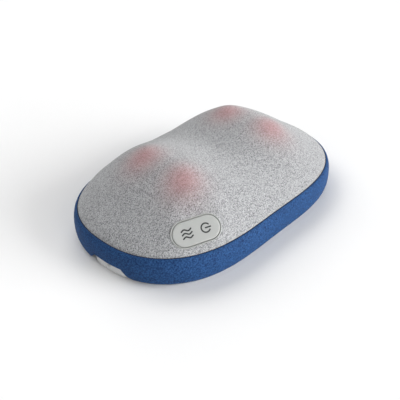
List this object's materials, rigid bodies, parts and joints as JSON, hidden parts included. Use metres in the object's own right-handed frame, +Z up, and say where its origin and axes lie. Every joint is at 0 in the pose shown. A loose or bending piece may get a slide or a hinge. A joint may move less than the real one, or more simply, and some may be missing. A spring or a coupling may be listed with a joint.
{
  "type": "shiatsu neck massager",
  "caption": "Pillow-shaped kneading massager with a domed fabric cover, a side band, a rocker key and counter-rotating worm-driven heads with warming massage nodes.",
  "frame": {"origin": "centre of the four rubber feet, on the surface that the massager lies on", "axes": "+X along the pillow towards the end without the power inlet, -Y towards the side with the key, +Z up through the domed cover"},
  "size_m": [0.32, 0.203, 0.0896],
  "materials": {
    "cover_fabric": "light grey speckled knit, matt",
    "foam": "open-cell foam, matt",
    "band_blue": "fine textile-like grain, matt",
    "white_plastic": "satin moulded plastic",
    "key_plastic": "satin moulded plastic",
    "natural_plastic": "unpigmented moulded plastic",
    "grey_plastic": "satin moulded plastic",
    "black_plastic": "satin moulded plastic",
    "node_red": "smooth translucent plastic",
    "lamp": "clear red lamp lens",
    "circuit_board": "solder mask",
    "cell_wrap": "shrink film",
    "lead_insulation": "soft wire insulation",
    "rubber": "matt",
    "steel": "bright",
    "brass": "machined",
    "bronze": "sintered",
    "copper": "wound wire"
  },
  "bodies": {
    "housing": {"bottom_shell": "white_plastic", "side_band": "band_blue", "upper_frame": "natural_plastic", "foam_pad": "foam", "fabric_cover": "cover_fabric", "control_bezel": "key_plastic", "key_pivot_pin": "steel", "key_board": "circuit_board", "heat_switch": "black_plastic", "power_switch": "black_plastic", "gearbox_base": "grey_plastic", "left_gearbox_cover": "grey_plastic", "right_gearbox_cover": "grey_plastic", "left_lower_bush": "bronze", "right_lower_bush": "bronze", "left_upper_bush": "bronze", "right_upper_bush": "bronze", "left_worm_bearing": "bronze", "right_worm_bearing": "bronze", "motor_can": "steel", "motor_end_cap": "black_plastic", "motor_clamp": "steel", "battery_cell_1": "cell_wrap", "battery_cell_2": "cell_wrap", "battery_cell_3": "cell_wrap", "battery_holder": "black_plastic", "main_board": "circuit_board", "dc_jack": "white_plastic", "left_front_foot": "rubber", "left_back_foot": "rubber", "right_front_foot": "rubber", "right_back_foot": "rubber", "left_front_screw": "steel", "left_back_screw": "steel", "right_front_screw": "steel", "right_back_screw": "steel", "motor_lead": "lead_insulation", "battery_lead": "lead_insulation", "key_lead": "lead_insulation"},
    "left_head": {"left_worm_wheel": "natural_plastic", "left_spindle": "steel", "left_head_arm": "white_plastic", "left_arm_nut": "steel", "left_front_heat_lamp": "lamp", "left_back_heat_lamp": "lamp"},
    "right_head": {"right_worm_wheel": "natural_plastic", "right_spindle": "steel", "right_head_arm": "white_plastic", "right_arm_nut": "steel", "right_front_heat_lamp": "lamp", "right_back_heat_lamp": "lamp"},
    "left_front_roller": {"left_front_node": "node_red"},
    "left_back_roller": {"left_back_node": "node_red"},
    "right_front_roller": {"right_front_node": "node_red"},
    "right_back_roller": {"right_back_node": "node_red"},
    "motor_drive": {"motor_shaft": "steel", "motor_rotor": "copper", "left_worm": "brass", "right_worm": "brass"},
    "rocker": {"rocker_key": "key_plastic"}
  },
  "joints": [
    {"name": "left_head_spin", "type": "hinge", "parent": "housing", "child": "left_head", "pos_m": [-0.067, 0, 0.0415], "axis": [0, 0, 1], "continuous": true},
    {"name": "right_head_spin", "type": "hinge", "parent": "housing", "child": "right_head", "pos_m": [0.067, 0, 0.0415], "axis": [0, 0, 1], "continuous": true},
    {"name": "motor_spin", "type": "hinge", "parent": "housing", "child": "motor_drive", "pos_m": [0, -0.028, 0.024], "axis": [1, 0, 0], "continuous": true},
    {"name": "left_front_node_spin", "type": "hinge", "parent": "left_head", "child": "left_front_roller", "pos_m": [-0.06909, -0.02993, 0.054], "axis": [0, 0, 1], "continuous": true},
    {"name": "left_back_node_spin", "type": "hinge", "parent": "left_head", "child": "left_back_roller", "pos_m": [-0.06491, 0.02993, 0.054], "axis": [0, 0, 1], "continuous": true},
    {"name": "right_front_node_spin", "type": "hinge", "parent": "right_head", "child": "right_front_roller", "pos_m": [0.06909, -0.02993, 0.054], "axis": [0, 0, 1], "continuous": true},
    {"name": "right_back_node_spin", "type": "hinge", "parent": "right_head", "child": "right_back_roller", "pos_m": [0.06491, 0.02993, 0.054], "axis": [0, 0, 1], "continuous": true},
    {"name": "key_rock", "type": "hinge", "parent": "housing", "child": "rocker", "pos_m": [-0.09541, -0.07023, 0.04728], "axis": [0.2472, 0.6819, 0.6884], "range_deg": [-2.5, 2.5], "stiffness_Nm_per_rad": 0.3}
  ],
  "couplings": [
    {"joint": "right_head_spin", "follows": "left_head_spin", "ratio": -1},
    {"joint": "motor_spin", "follows": "left_head_spin", "ratio": 20}
  ]
}
